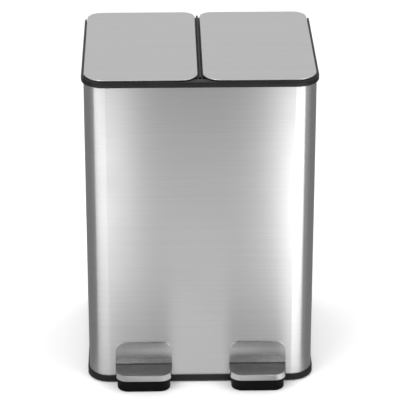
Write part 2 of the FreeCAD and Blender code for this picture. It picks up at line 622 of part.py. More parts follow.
def axle_caps():
    """Upper halves of the four bearings, screwed down over the axle."""
    caps = []
    for x in bearing_places():
        cap = bearing(x, PIVOT_HEIGHT, PIVOT_HEIGHT + BEARING_CAP)
        caps += both_sides(cap.cut(screw_holes(x, PIVOT_HEIGHT, PIVOT_HEIGHT + BEARING_CAP)))
    return Part.makeCompound(caps)


def axle_cap_screws():
    top = PIVOT_HEIGHT + BEARING_CAP
    screws = []
    for x in bearing_places():
        for side in (-1, 1):
            y = PIVOT_SETBACK + side * SCREW_OFFSET
            shank = post(x, y, TRAY_TOP + SCREW_BITE, top, SCREW_RADIUS)
            screws += both_sides(shank.fuse(post(x, y, top, top + SCREW_HEAD, SCREW_HEAD_RADIUS)))
    return Part.makeCompound(screws)


def pedal_axle():
    end = bearing_places()[1] + BEARING_WIDTH / 2 + 3 * CLIP_THICKNESS
    return cross_bar(-end, end, PIVOT_SETBACK, PIVOT_HEIGHT, AXLE_RADIUS)


def axle_clips():
    """Spring clips round the ends of the axle, outside the outer bearings."""
    x = bearing_places()[1] + BEARING_WIDTH / 2 + FIT
    disc = cross_bar(x, x + CLIP_THICKNESS, PIVOT_SETBACK, PIVOT_HEIGHT, CLIP_RADIUS)
    bore = cross_bar(x, x + CLIP_THICKNESS, PIVOT_SETBACK, PIVOT_HEIGHT, AXLE_RADIUS + SEAT_FIT)
    half = AXLE_RADIUS * math.sqrt(0.5)
    mouth = block(x, x + CLIP_THICKNESS, PIVOT_SETBACK - half, PIVOT_SETBACK + half, -FAR, PIVOT_HEIGHT)
    return Part.makeCompound(both_sides(disc.cut([bore, mouth])))


def stabiliser_screw_places():
    y = TONGUE_REACH - TONGUE_SCREW_INSET
    return [(PEDAL_X + side * TONGUE_SCREW_SPACING / 2, y) for side in (-1, 1)]


def stabiliser_foot():
    """Open box under the pedal. It stands on the floor, and its tongue is screwed under the base."""
    half = FOOT_WIDTH / 2
    front = -BASE_RING_OVERHANG
    box = (PEDAL_X - half, PEDAL_X + half, -FOOT_REACH, front)
    back_radii = (FOOT_BACK_RADIUS, FOOT_BACK_RADIUS)
    body = slab(box, (FOOT_RADIUS, FOOT_RADIUS) + back_radii, 0, FOOT_HEIGHT)
    edges = [e for e in body.Edges if e.BoundBox.ZMax < 1e-4 and e.CenterOfMass.y < front - BITE]
    body = round_level(body.makeFillet(FOOT_ROUND, edges), FOOT_HEIGHT, FOOT_TOP_ROUND)
    hollow = slab(grow(box, -FOOT_WALL), (FOOT_RADIUS - FOOT_WALL,) * 2 + back_radii, FOOT_WALL, FAR)
    doorway = block(PEDAL_X - SLOT_HALF_WIDTH, PEDAL_X + SLOT_HALF_WIDTH, front - 2 * FOOT_WALL, FAR,
                    FOOT_WALL, FAR)
    tongue = block(PEDAL_X - TONGUE_WIDTH / 2, PEDAL_X + TONGUE_WIDTH / 2, front - BITE, TONGUE_REACH, 0,
                   TONGUE_THICKNESS)
    pad = block(PEDAL_X - TONGUE_PAD_WIDTH / 2, PEDAL_X + TONGUE_PAD_WIDTH / 2, WALL + FOOT_WALL,
                TONGUE_REACH, 0, TRAY_FLOOR_HEIGHT)
    foot = body.cut([hollow, doorway]).fuse([tongue, pad]).removeSplitter()
    holes = []
    for x, y in stabiliser_screw_places():
        holes.append(post(x, y, 0, FAR, SCREW_RADIUS + SCREW_HOLE_PLAY))
        holes.append(post(x, y, 0, TONGUE_SCREW_SINK + SCREW_HEAD, SCREW_HEAD_RADIUS + FIT))
    return foot.cut(holes)


def stabiliser_screws():
    """Screws from below, through each tongue into the floor of the base."""
    screws = []
    for x, y in stabiliser_screw_places():
        head = post(x, y, TONGUE_SCREW_SINK, TONGUE_SCREW_SINK + SCREW_HEAD, SCREW_HEAD_RADIUS)
        shank = post(x, y, TONGUE_SCREW_SINK, TRAY_FLOOR_HEIGHT, SCREW_RADIUS)
        screws += both_sides(head.fuse(shank))
    return Part.makeCompound(screws)


def rubber_feet():
    """Four pads under the corners of the base."""
    pads = []
    for y in (PAD_INSET, BODY_DEPTH - PAD_INSET):
        pad = post(BODY_WIDTH / 2 - PAD_INSET, y, 0, TRAY_FLOOR_HEIGHT, PAD_RADIUS)
        pads += both_sides(round_level(pad, 0, PAD_ROUND))
    return Part.makeCompound(pads)


# --- Pedals -------------------------------------------------------------------------------------------------------
def pedal_form(inset):
    """Tread, upright flange and lip seen from the side, with rounded corners, moved inwards by inset."""
    front = -PEDAL_REACH + inset
    flange = -FLANGE_PROUD + inset
    back = -FLANGE_CLEARANCE if inset == 0 else 0.0
    lip_bottom = TREAD_FRONT_HEIGHT - LIP_HEIGHT if inset == 0 else 0.0
    lip_back = -FLANGE_PROUD - FIT if inset == 0 else 0.0
    fold = TREAD_BACK_HEIGHT - LIP_HEIGHT / 2 if inset == 0 else 0.0
    points = [(front, lip_bottom), (front, TREAD_FRONT_HEIGHT - inset), (flange, TREAD_BACK_HEIGHT - inset),
              (flange, FLANGE_TOP - inset), (back, FLANGE_TOP - inset), (back, fold)]
    if inset == 0:
        points += [(lip_back, fold), (lip_back, lip_bottom)]
    half = PEDAL_WIDTH / 2 - inset
    body = side_plate(points, PEDAL_X - half, PEDAL_X + half)
    if inset == 0:
        edges = [e for e in body.Edges if abs(e.CenterOfMass.y - front) < 1e-4
                 and abs(e.CenterOfMass.z - TREAD_FRONT_HEIGHT) < 1e-4]
        body = body.makeFillet(TREAD_EDGE_ROUND, edges)
    plan = slab((PEDAL_X - half, PEDAL_X + half, front, FAR), (TREAD_RADIUS - inset,) * 4, 0, FLANGE_TOP)
    upright = slab((PEDAL_X - half, PEDAL_X + half, -FLANGE_TOP + inset, FAR), (FLANGE_RADIUS - inset,) * 4,
                   -FAR, FAR)
    upright.rotate(vec(0, 0, 0), vec(1, 0, 0), -90)
    return body.common(plan).common(upright)


def pedal_cover():
    """One steel pressing: tread, flange and lip, open below and behind, with a crease at the bend."""
    crease = block(PEDAL_X - FAR, PEDAL_X + FAR, -FLANGE_PROUD - CREASE_WIDTH, -FLANGE_PROUD,
                   TREAD_BACK_HEIGHT - CREASE_DEPTH, TREAD_BACK_HEIGHT + CREASE_WIDTH)
    return pedal_form(0).cut([pedal_form(PEDAL_STEEL), crease])


def pedal_bracket():
    """Wedge between the cover and the arm."""
    half = FOOT_WIDTH / 2 - FOOT_WALL - BRACKET_PLAY
    box = (PEDAL_X - half, PEDAL_X + half, BRACKET_FRONT, -BASE_RING_OVERHANG - FOOT_WALL - BRACKET_PLAY)
    corner = FOOT_RADIUS - FOOT_WALL - BRACKET_PLAY
    wedge = slab(box, (corner, corner, FOOT_BACK_RADIUS, FOOT_BACK_RADIUS), ARM_TOP, FLANGE_TOP)
    holes = [post(x, y, 0, FAR, RIVET_RADIUS + SEAT_FIT) for x, y in rivet_places()]
    sinks = [post(x, y, RIVET_TOP, FAR, RIVET_HEAD_RADIUS + FIT) for x, y in rivet_places()]
    return wedge.common(pedal_form(PEDAL_STEEL)).cut(holes + sinks)


def rivet_places():
    middle = -(PEDAL_REACH + FLANGE_PROUD) / 2
    return [(PEDAL_X, middle - RIVET_SPACING / 2), (PEDAL_X, middle + RIVET_SPACING / 2)]


def pedal_rivets():
    """Rivets that hold the wedge on the arm, with a head above and below."""
    rivets = []
    for x, y in rivet_places():
        under = ARM_TOP - ARM_STEEL
        shank = post(x, y, under, RIVET_TOP, RIVET_RADIUS)
        heads = [post(x, y, RIVET_TOP, RIVET_TOP + RIVET_HEAD, RIVET_HEAD_RADIUS),
                 post(x, y, under - RIVET_HEAD, under, RIVET_HEAD_RADIUS)]
        rivets.append(shank.fuse(heads).removeSplitter())
    return Part.makeCompound(rivets)


def pedal_arm():
    """Long lever of folded steel: a channel, open below and deepest round the axle."""
    back = ROD_Y + ARM_TAIL
    shallow, middle = ARM_TOP - ARM_DEPTH, ARM_TOP - ARM_DEPTH_MIDDLE
    deep = PIVOT_HEIGHT - ARM_DROP_PIVOT
    near, far = BEARING_LENGTH / 2, ARM_DEEP_REACH
    profile = [(BRACKET_FRONT, ARM_TOP), (back, ARM_TOP), (back, shallow),
               (PIVOT_SETBACK + far, middle), (PIVOT_SETBACK + near, deep),
               (PIVOT_SETBACK - near, deep), (PIVOT_SETBACK - far, middle), (BRACKET_FRONT, shallow)]
    half = ARM_WIDTH / 2
    channel = side_plate(profile, PEDAL_X - half, PEDAL_X + half)
    inside = side_plate([(-FAR, 0), (-FAR, ARM_TOP - ARM_STEEL), (FAR, ARM_TOP - ARM_STEEL), (FAR, 0)],
                        PEDAL_X - half + ARM_STEEL, PEDAL_X + half - ARM_STEEL)
    hole = cross_bar(PEDAL_X - half, PEDAL_X + half, PIVOT_SETBACK, PIVOT_HEIGHT,
                     AXLE_RADIUS + BUSH_WALL + SEAT_FIT)
    holes = [post(x, y, 0, FAR, RIVET_RADIUS + SEAT_FIT) for x, y in rivet_places()]
    return channel.cut([inside, hole] + holes)


def pedal_bushes():
    """Two flanged bushes, one in each web of the arm."""
    half = ARM_WIDTH / 2
    bore = cross_bar(PEDAL_X - FAR, PEDAL_X + FAR, PIVOT_SETBACK, PIVOT_HEIGHT, AXLE_RADIUS + RUNNING_FIT)
    bushes = []
    for side in (-1, 1):
        web, tip = PEDAL_X + side * half, PEDAL_X + side * (half - 3 * ARM_STEEL)
        collar = PEDAL_X + side * (half + BUSH_FLANGE)
        barrel = cross_bar(min(web, tip), max(web, tip), PIVOT_SETBACK, PIVOT_HEIGHT, AXLE_RADIUS + BUSH_WALL)
        flange = cross_bar(min(web, collar), max(web, collar), PIVOT_SETBACK, PIVOT_HEIGHT,
                           BUSH_FLANGE_RADIUS)
        bushes.append(barrel.fuse(flange).removeSplitter().cut(bore))
    return Part.makeCompound(bushes)


# --- Push rods ------------------------------------------------------------------------------------------------------
def rod_foot():
    """Round-ended foot that stands just clear of the arm's tail."""
    bottom = ARM_TOP + ROD_FOOT_GAP
    centre = bottom + ROD_FOOT_RADIUS
    top = bottom + ROD_FOOT_HEIGHT
    body = post(ROD_X, ROD_Y, centre, top, ROD_FOOT_RADIUS)
    end = Part.makeSphere(ROD_FOOT_RADIUS, vec(ROD_X, ROD_Y, centre))
    socket = post(ROD_X, ROD_Y, top - ROD_SOCKET, top, ROD_RADIUS + SEAT_FIT)
    return body.fuse(end).removeSplitter().cut(socket)


def rod_tip():
    """Flat cap that the lid's crank slides on."""
    bottom = ROD_TOP - ROD_TIP_HEIGHT
    cap = round_level(post(ROD_X, ROD_Y, bottom, ROD_TOP, ROD_TIP_RADIUS), ROD_TOP, ROD_TIP_ROUND)
    return cap.cut(post(ROD_X, ROD_Y, bottom, bottom + ROD_SOCKET, ROD_RADIUS + SEAT_FIT))


def push_rod():
    bottom = ARM_TOP + ROD_FOOT_GAP + ROD_FOOT_HEIGHT - ROD_SOCKET
    top = ROD_TOP - ROD_TIP_HEIGHT + ROD_SOCKET
    return post(ROD_X, ROD_Y, bottom, top, ROD_RADIUS)


def rod_guide():
    """Bridge over the arm's tail, with the lower guide for the rod."""
    inner = ARM_WIDTH / 2 + SLOT_PLAY
    y0, y1 = ROD_Y - GUIDE_LENGTH / 2, ROD_Y + GUIDE_LENGTH / 2
    bridge = ARM_TOP + ROD_FOOT_GAP + ROD_FOOT_HEIGHT + ROD_LIFT + GUIDE_CLEARANCE
    body = block(ROD_X - inner - GUIDE_LEG, ROD_X + inner + GUIDE_LEG, y0, y1, TRAY_TOP,
                 bridge + GUIDE_BRIDGE)
    edges = [e for e in body.Edges if abs(e.CenterOfMass.z - bridge - GUIDE_BRIDGE) < 1e-4
             and abs(e.CenterOfMass.y - ROD_Y) < 1e-4]
    body = body.makeFillet(GUIDE_LEG, edges)
    tunnel = block(ROD_X - inner, ROD_X + inner, y0, y1, TRAY_TOP, bridge)
    return body.cut([tunnel, post(ROD_X, ROD_Y, 0, FAR, ROD_RADIUS + RUNNING_FIT)])


# --- Every node -------------------------------------------------------------------------------------------------------
SINGLE_PIECES = {
    "outer_shell": outer_shell, "seam_strip": seam_strip, "top_collar": top_collar,
    "hinge_pins": hinge_pins, "base_tray": base_tray, "rubber_feet": rubber_feet,
    "pedal_axle": pedal_axle, "axle_caps": axle_caps, "axle_cap_screws": axle_cap_screws,
    "axle_clips": axle_clips, "stabiliser_screws": stabiliser_screws,
}
PAIRED_PIECES = {
    "lid_panel": lid_panel, "lid_frame": lid_frame, "lid_bumpers": lid_bumpers, "bucket": bucket,
    "pedal_cover": pedal_cover, "pedal_bracket": pedal_bracket, "pedal_arm": pedal_arm,
    "pedal_bushes": pedal_bushes, "pedal_rivets": pedal_rivets, "stabiliser_foot": stabiliser_foot,
    "push_rod": push_rod, "rod_foot": rod_foot, "rod_tip": rod_tip, "rod_guide": rod_guide,
}


def write(name, shape):
    placed = shape.copy()
    placed.translate(vec(0, FRONT_FACE_Y, 0))
    placed.exportStep("parts/" + name + ".step")
    box = placed.BoundBox
    print("%-24s solids %2d  valid %s  X %7.1f %7.1f  Y %7.1f %7.1f  Z %6.1f %6.1f" % (
        name, len(placed.Solids), placed.isValid(), box.XMin, box.XMax, box.YMin, box.YMax,
        box.ZMin, box.ZMax))


def main():
    os.makedirs("parts", exist_ok=True)
    for name, make in SINGLE_PIECES.items():
        write(name, make())
    for name, make in PAIRED_PIECES.items():
        right = make()
        write(name + "_right", right)
        write(name + "_left", mirrored(right))
    print("lid hinge y %.3f z %.3f, pedal pivot y %.3f z %.3f, pedal angle %.4f deg, rod lift %.4f" % (
        HINGE_Y + FRONT_FACE_Y, HINGE_Z, PIVOT_SETBACK + FRONT_FACE_Y, PIVOT_HEIGHT, PEDAL_ANGLE, ROD_LIFT))


main()
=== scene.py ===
# %% [markdown]
# # A double recycling bin in brushed steel
# The bin is one tall steel body with two lids side by side. Each lid has a pedal of its own.
# The CAD model gives every part its shape and its place, and this lesson gives each part its finish,
# models the small pieces that the CAD model leaves out, and sets up the studio and the camera.

# %% Load the frame
import json
import math

import bmesh
import bpy
from mathutils import Matrix, Vector


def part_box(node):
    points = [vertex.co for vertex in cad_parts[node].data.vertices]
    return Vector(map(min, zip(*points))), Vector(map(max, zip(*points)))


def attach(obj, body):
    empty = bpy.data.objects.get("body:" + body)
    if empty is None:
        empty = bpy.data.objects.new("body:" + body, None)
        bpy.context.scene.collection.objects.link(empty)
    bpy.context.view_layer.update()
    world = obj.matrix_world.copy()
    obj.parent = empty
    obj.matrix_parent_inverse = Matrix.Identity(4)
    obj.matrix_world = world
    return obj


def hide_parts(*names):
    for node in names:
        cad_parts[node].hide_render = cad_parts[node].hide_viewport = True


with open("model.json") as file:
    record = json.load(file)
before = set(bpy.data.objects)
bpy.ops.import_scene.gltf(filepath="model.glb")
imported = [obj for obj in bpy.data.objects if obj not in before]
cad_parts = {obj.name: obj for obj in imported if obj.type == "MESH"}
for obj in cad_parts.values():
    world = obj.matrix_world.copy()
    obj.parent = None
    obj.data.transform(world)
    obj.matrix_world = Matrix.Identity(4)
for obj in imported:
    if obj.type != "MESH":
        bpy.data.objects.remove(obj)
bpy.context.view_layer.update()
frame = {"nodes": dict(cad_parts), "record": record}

nodes = frame["nodes"]

# %% [markdown]
# ## The camera
# The photograph is taken from above with a long lens, so upright edges lean in only a little.
# A lens could be guessed by eye, but a fit of known edges to the picture gives the distance, the
# height and the lens together, and then every piece falls where the photograph has it.

# %% Camera
CAMERA_PLACE = (-0.0786, -3.8806, 2.0967)
CAMERA_TILT, CAMERA_TURN = 65.241, -1.193
LENS, SENSOR = 200.75, 36.0
CLIP_START, CLIP_END = 0.1, 60.0


def make_camera():
    data = bpy.data.cameras.new("studio_camera")
    data.lens, data.sensor_width = LENS, SENSOR
    data.clip_start, data.clip_end = CLIP_START, CLIP_END
    camera = bpy.data.objects.new("studio_camera", data)
    bpy.context.scene.collection.objects.link(camera)
    camera.location = CAMERA_PLACE
    camera.rotation_euler = [math.radians(angle) for angle in (CAMERA_TILT, 0.0, CAMERA_TURN)]
    bpy.context.scene.camera = camera
    return camera


camera = make_camera()
bpy.context.scene.view_settings.view_transform = "Standard"
print("camera", camera.name, "lens", LENS)

# %% [markdown]
# ## Shader maths in Python
# A finish is a small network of nodes. Long networks are hard to read as code, so one small class
# wraps an output socket and gives it Python's own operators: `streak * 0.2 + 0.3` adds the two Math
# nodes and their links. Everything else comes from one method, which takes the node's type, its
# settings and the values of its sockets.


# %% The Link class
class Link:
    """An output socket of a finish. Python's operators on it add Math nodes."""

    def __init__(self, finish, socket):
        self.finish, self.socket = finish, socket

    def maths(self, operation, first, second=None):
        return self.finish.node("ShaderNodeMath", {"operation": operation}, Value=first, Value_001=second)

    def __add__(self, other):
        return self.maths("ADD", self, other)

    __radd__ = __add__

    def __mul__(self, other):
        return self.maths("MULTIPLY", self, other)

    __rmul__ = __mul__

    def __sub__(self, other):
        return self.maths("SUBTRACT", self, other)

    def __rsub__(self, other):
        return self.maths("SUBTRACT", other, self)

    def __truediv__(self, other):
        return self.maths("DIVIDE", self, other)

    def __rtruediv__(self, other):
        return self.maths("DIVIDE", other, self)

    def __abs__(self):
        return self.maths("ABSOLUTE", self)


# %% The Finish class
def socket_value(value):
    """A grey number for a colour socket becomes a full colour."""
    return (value, value, value, 1.0) if isinstance(value, float) else value


class Finish:
    """A material whose nodes are added by one method."""

    def __init__(self, name):
        self.material = bpy.data.materials.new(name)
        self.material.use_nodes = True
        self.tree = self.material.node_tree
        self.tree.nodes.clear()
        self.place = self.node("ShaderNodeTexCoord", out="Object")

    def node(self, kind, settings=None, out=None, **sockets):
        """Adds a node and gives a Link to the output that out names, or to the first one in use."""
        node = self.tree.nodes.new(kind)
        for key, value in (settings or {}).items():
            if key == "stops":
                ramp = node.color_ramp
                while len(ramp.elements) < len(value):
                    ramp.elements.new(0.5)
                for element, (position, grey) in zip(ramp.elements, value):
                    element.position, element.color = position, socket_value(grey)
            else:
                setattr(node, key, value)
        for key, value in sockets.items():
            if value is None:
                continue
            socket = next(s for s in node.inputs if key in (s.identifier, s.name.replace(" ", "_")))
            if isinstance(value, Link):
                self.tree.links.new(value.socket, socket)
            else:
                socket.default_value = socket_value(value) if socket.type == "RGBA" else value
        if not node.outputs:
            return node
        found = [s for s in node.outputs if out in (s.identifier, s.name)] or [
            s for s in node.outputs if s.enabled]
        return Link(self, found[0])

    def noise(self, scale, detail=3.0, stretch=(1.0, 1.0, 1.0), roughness=0.5):
        """Noise from 0 to 1, stretched by a factor for each axis."""
        moved = self.node("ShaderNodeMapping", Vector=self.place, Scale=stretch)
        return self.node("ShaderNodeTexNoise", out="Fac", Vector=moved, Scale=scale, Detail=detail,
                         Roughness=roughness)

    def ramp(self, value, low, high):
        """0 below low and 1 above high, with a smooth step between."""
        return self.node("ShaderNodeMapRange", {"interpolation_type": "SMOOTHSTEP"}, out="Result",
                         Value=value, From_Min=low, From_Max=high)

    def mix(self, share, first, second):
        return self.node("ShaderNodeMix", {"data_type": "RGBA"}, out="Result_Color", Factor_Float=share,
                         A_Color=first, B_Color=second)

    def axis(self, name):
        return self.node("ShaderNodeSeparateXYZ", out=name, Vector=self.place)

    def scaled(self, colour, factor):
        """A colour times a number. A Math node would turn it grey."""
        return self.node("ShaderNodeVectorMath", {"operation": "SCALE"}, Vector=colour, Scale=factor)

    def bump(self, height, strength, distance):
        return self.node("ShaderNodeBump", Height=height, Strength=strength, Distance=distance)

    def finish(self, **sockets):
        shader = self.node("ShaderNodeBsdfPrincipled", **sockets)
        self.node("ShaderNodeOutputMaterial", Surface=shader)
        print("finish", self.material.name, "with", len(self.tree.nodes), "nodes")
        return self.material


# %% [markdown]
# ## Brushed steel
# The body is brushed round and round, so its grain runs level on all four sides. The grain is noise
# stretched far along X and Y and squeezed along Z. It changes the colour a little, the roughness more,
# and the surface by a few micrometres. Metal brushed one way also smears its highlights across the
# grain, which is what the shader's anisotropy does.

# %% Steel finishes
BROAD_GRAIN = 0.12            # how tight the broad streaks are, beside the fine ones
FINE_SHARE, BROAD_SHARE = 0.6, 0.4
TONE_SPREAD = 0.05
WORN_AND_SHADED_TONE, WORN_ROUGH = 0.15, 0.09
GRAIN_STRENGTH, GRAIN_DEPTH = 0.07, 0.0001


def brushed_steel(name, tone, rough, grain, anisotropy=0.0, wear_and_shade=None):
    """The wear mask is a function that takes the finish and gives where the steel is worn and where shade
    is painted on it.
    """
    f = Finish(name)
    fine = f.noise(1.0, 4.0, grain, 0.6)
    broad = f.noise(1.0, 2.0, tuple(g * BROAD_GRAIN for g in grain), 0.5)
    smear = f.noise(9.0, 3.0)
    streak = (fine - 0.5) * FINE_SHARE + (broad - 0.5) * BROAD_SHARE
    handled = f.ramp(smear, 0.48, 0.78)
    colour = f.mix(f.ramp(streak, -0.25, 0.25), tone * (1 - TONE_SPREAD), tone * (1 + TONE_SPREAD))
    roughness = streak * 0.14 + handled * 0.035 + rough
    # Wear and painted shade: the mask darkens the colour and makes the steel rougher.
    if wear_and_shade:
        wear_and_shade_mask = wear_and_shade(f)
        colour = f.mix(wear_and_shade_mask, colour, tone * WORN_AND_SHADED_TONE)
        roughness = roughness + wear_and_shade_mask * WORN_ROUGH
    normal = f.bump(fine, GRAIN_STRENGTH, GRAIN_DEPTH)
    return f.finish(Base_Color=colour, Metallic=1.0, Roughness=roughness, Normal=normal,
                    Anisotropic=anisotropy, Anisotropic_Rotation=0.25)


# %% [markdown]
# A shoe always lands on the middle of a tread, so the scuffs sit there: short fine scratches in no one
# direction, densest in the middle and gone towards the sides. The crease where the tread meets the upright
# flange is painted dark, and the foot of the flange is darker and rougher towards the bottom: both are
# painted shade.
# Both masks are worked out from the place on the pedal, the same way on both sides.

# %% Scuffs, and painted shade in the crease of a pedal
PEDAL_LOW, PEDAL_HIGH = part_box("pedal_cover_right")
PEDAL_MIDDLE = (PEDAL_LOW[0] + PEDAL_HIGH[0]) / 2
TREAD_HALF = 0.05
SCRATCH_GRAIN = (900.0, 260.0, 900.0)
CREASE_FROM_BACK = 0.0046
CREASE_Y, CREASE_HALF = PEDAL_HIGH[1] - CREASE_FROM_BACK, 0.0011
FLANGE_FOOT, FLANGE_FOOT_STEP, FLANGE_FOOT_SHADE_RISE = 0.051, 0.002, 0.022
SCUFF_SHARE, CREASE_SHADE_SHARE, FLANGE_FOOT_SHADE_SHARE = 0.12, 0.75, 0.38


def pedal_wear_and_shade(f):
    across = abs(abs(f.axis("X")) - PEDAL_MIDDLE) / TREAD_HALF
    scratches = f.ramp(f.noise(1.0, 6.0, SCRATCH_GRAIN, 0.7), 0.56, 0.70)
    scuffed = scratches * (1 - f.ramp(across, 0.15, 0.9)) * SCUFF_SHARE
    # Painted shade: the crease is painted dark, and the flange's foot darker towards the bottom.
    crease = 1 - f.ramp(abs(f.axis("Y") - CREASE_Y), CREASE_HALF * 0.7, CREASE_HALF * 1.3)
    crease = crease * (1 - f.ramp(f.axis("Z"), FLANGE_FOOT, FLANGE_FOOT + FLANGE_FOOT_STEP))
    on_flange = f.ramp(f.axis("Y"), CREASE_Y, CREASE_Y + CREASE_HALF)
    flange_foot_shade = on_flange * (1 - f.ramp(f.axis("Z"), FLANGE_FOOT, FLANGE_FOOT + FLANGE_FOOT_SHADE_RISE)) * FLANGE_FOOT_SHADE_SHARE
    return crease * CREASE_SHADE_SHARE + flange_foot_shade + scuffed


# %% [markdown]
# The edge of a lid is pressed down round a tight bend. A line along the bend is painted darker than the
# top, a painted shade that tones down the edge's highlight, and it is a little rougher. It shows as a thin
# frame round each lid.

# %% The edge of a lid, and the four steels
LID_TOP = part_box("lid_panel_right")[1][2]
BEND_FOOT, BEND_HEAD = 0.0014, 0.0003     # both below the lid's top
EDGE_SHADE_SHARE = 0.3


# Painted shade: a thin band along the lid's bent edge is painted darker to dim its highlight.
def shaded_lid_edge(f):
    return (1 - f.ramp(f.axis("Z"), LID_TOP - BEND_FOOT, LID_TOP - BEND_HEAD)) * EDGE_SHADE_SHARE


ALONG_BODY = (14.0, 14.0, 2400.0)
ALONG_LID = (12.0, 1600.0, 1600.0)
ALONG_INSIDE = (40.0, 40.0, 900.0)
body_steel = brushed_steel("body_steel", 0.62, 0.30, ALONG_BODY, anisotropy=0.95)
lid_steel = brushed_steel("lid_steel", 0.62, 0.38, ALONG_LID, wear_and_shade=shaded_lid_edge)
pedal_steel = brushed_steel("pedal_steel", 0.58, 0.22, ALONG_LID, anisotropy=0.3, wear_and_shade=pedal_wear_and_shade)
inner_steel = brushed_steel("inner_steel", 0.45, 0.42, ALONG_INSIDE)

# %% [markdown]
# ## Moulded plastic
# The rim, the base and the feet are black moulded plastic with a fine spark-eroded grain. The grain
# only shows as a soft sheen, so it's a small bump with a roughness that varies a little. Such plastic
# mirrors less than a polished one, so its specular level is low.


# %% Plastic and rubber finishes
def moulded_plastic(name, tone, rough, grain_size=0.0006, depth=0.00004, gloss=0.5):
    f = Finish(name)
    grain = f.noise(1.0 / grain_size, 2.0)
    cloud = f.noise(25.0, 4.0)
    colour = f.mix(f.ramp(cloud, 0.3, 0.75), tone * 0.85, tone * 1.2)
    roughness = (grain - 0.5) * 0.15 + (cloud - 0.5) * 0.08 + rough
    return f.finish(Base_Color=colour, Roughness=roughness, Normal=f.bump(grain, 0.5, depth),
                    Specular_IOR_Level=gloss)


black_plastic = moulded_plastic("black_plastic", 0.010, 0.40, gloss=0.22)
bucket_plastic = moulded_plastic("bucket_plastic", 0.022, 0.5, grain_size=0.001, gloss=0.3)
nylon = moulded_plastic("nylon", 0.62, 0.45)
rubber = moulded_plastic("rubber", 0.014, 0.75, grain_size=0.0012, depth=0.0001, gloss=0.2)
# Painted shade: a darker, duller copy of the black plastic for the feet, which stand in shade.
foot_plastic = moulded_plastic("foot_plastic", 0.004, 0.55, gloss=0.1)

# %% [markdown]
# ## Dressing the CAD nodes
# Every node takes the finish of its material slot in the record. The mesh of a node is never touched,
# only the material in its slots. The two stabiliser feet under the pedals stand in shade, so they're
# dressed once more, by name, in a darker and duller copy of the black plastic: its darker tone is painted
# shade.

# %% Dress the nodes
FINISH_OF_SLOT = {"brushed_steel": body_steel, "lid_steel": lid_steel, "pedal_steel": pedal_steel,
                  "plain_steel": inner_steel, "black_plastic": black_plastic,
                  "bucket_plastic": bucket_plastic, "nylon": nylon, "rubber": rubber}


def dress(node, material):
    slots = node.data.materials
    if not slots:
        slots.append(material)
    for index in range(len(slots)):
        slots[index] = material


for part in frame["record"]["subparts"]:
    dress(nodes[part["node"]], FINISH_OF_SLOT[part["material_slot"]])
for side in ("left", "right"):
    dress(nodes["stabiliser_foot_" + side], foot_plastic)

# %% [markdown]
# ## Cross-head screws
# Each axle cap is held by two screws, and each stabiliser foot by two from below. The CAD model gives
# them plain round heads. A real pan head is domed and has a cross recess for the driver, so one screw is
# modelled here and copied to every place. A texture could fake the cross, but from below it would look
# flat, so it's cut from the head with a Boolean.

# %% Selecting faces and edges by their place
NEARLY = 0.99                 # share of a height above which an edge counts as on top


def start_fresh():
    bpy.ops.object.select_all(action="DESELECT")


def pick(faces=None, edges=None):
    """In edit mode, selects the faces that pass a test on their middle and normal, or the edges that
    pass one on their two ends."""
    mesh = bpy.context.edit_object.data
    bpy.ops.mesh.select_mode(type="FACE" if faces else "EDGE")
    bpy.ops.mesh.select_all(action="DESELECT")
    bm = bmesh.from_edit_mesh(mesh)
    if faces:
        for face in bm.faces:
            if faces(face.calc_center_median(), face.normal):
                face.select_set(True)
    if edges:
        for edge in bm.edges:
            if edges(*[vertex.co for vertex in edge.verts]):
                edge.select_set(True)
    bmesh.update_edit_mesh(mesh)


def facing_up(middle, normal):
    return normal.z > 0.9


def facing_down(middle, normal):
    return normal.z < -0.9


def apply_modifiers(piece):
    start_fresh()
    piece.select_set(True)
    bpy.context.view_layer.objects.active = piece
    for modifier in list(piece.modifiers):
        bpy.ops.object.modifier_apply(modifier=modifier.name)


# %% The head and the shank
DOME = 0.45                   # share of a head's height that its edge is rounded by


def screw_blank(radius, height, shank_radius, shank):
    """A domed head that stands on the origin, with its shank below."""
    start_fresh()
    bpy.ops.mesh.primitive_cylinder_add(vertices=32, radius=radius, depth=height,
                                        location=(0, 0, height / 2))
    blank = bpy.context.object
    bpy.ops.object.transform_apply(location=True, rotation=True, scale=True)
    bpy.ops.object.mode_set(mode="EDIT")
    pick(edges=lambda a, b: min(a.z, b.z) > height * NEARLY)
    bpy.ops.mesh.bevel(offset=height * DOME, segments=4, affect="EDGES")
    pick(faces=facing_down)
    bpy.ops.mesh.inset(thickness=radius - shank_radius)
    bpy.ops.mesh.extrude_region_move(TRANSFORM_OT_translate={"value": (0, 0, -shank)})
    bpy.ops.object.mode_set(mode="OBJECT")
    return blank


# %% The cross recess
WING_LENGTH, WING_WIDTH = 1.15, 0.26      # shares of the head's radius
WING_DEPTH = 1.3                          # share of the head's height
WING_FOOT = 0.55                          # size of a wing's foot, beside its top


def recess_wing(radius, height, turn):
    """One bar of the driver's cross, narrower towards its foot."""
    start_fresh()
    bpy.ops.mesh.primitive_cube_add(size=1.0, location=(0, 0, height))
    wing = bpy.context.object
    wing.dimensions = (radius * WING_LENGTH, radius * WING_WIDTH, height * WING_DEPTH)
    wing.rotation_euler = (0, 0, turn)
    bpy.ops.object.transform_apply(location=True, rotation=True, scale=True)
    bpy.ops.object.mode_set(mode="EDIT")
    pick(faces=facing_down)
    bpy.ops.transform.resize(value=(WING_FOOT, WING_FOOT, 1.0))
    bpy.ops.object.mode_set(mode="OBJECT")
    return wing


def cross_screw(radius, height, shank_radius, shank):
    screw = screw_blank(radius, height, shank_radius, shank)
    wings = [recess_wing(radius, height, turn) for turn in (0.0, math.pi / 2)]
    for wing in wings:
        cut = screw.modifiers.new("recess", "BOOLEAN")
        cut.operation, cut.solver, cut.object = "DIFFERENCE", "EXACT", wing
    apply_modifiers(screw)
    for wing in wings:
        bpy.data.objects.remove(wing)
    return screw


# %% Copies of a pattern
SMOOTH_BELOW = math.radians(35)


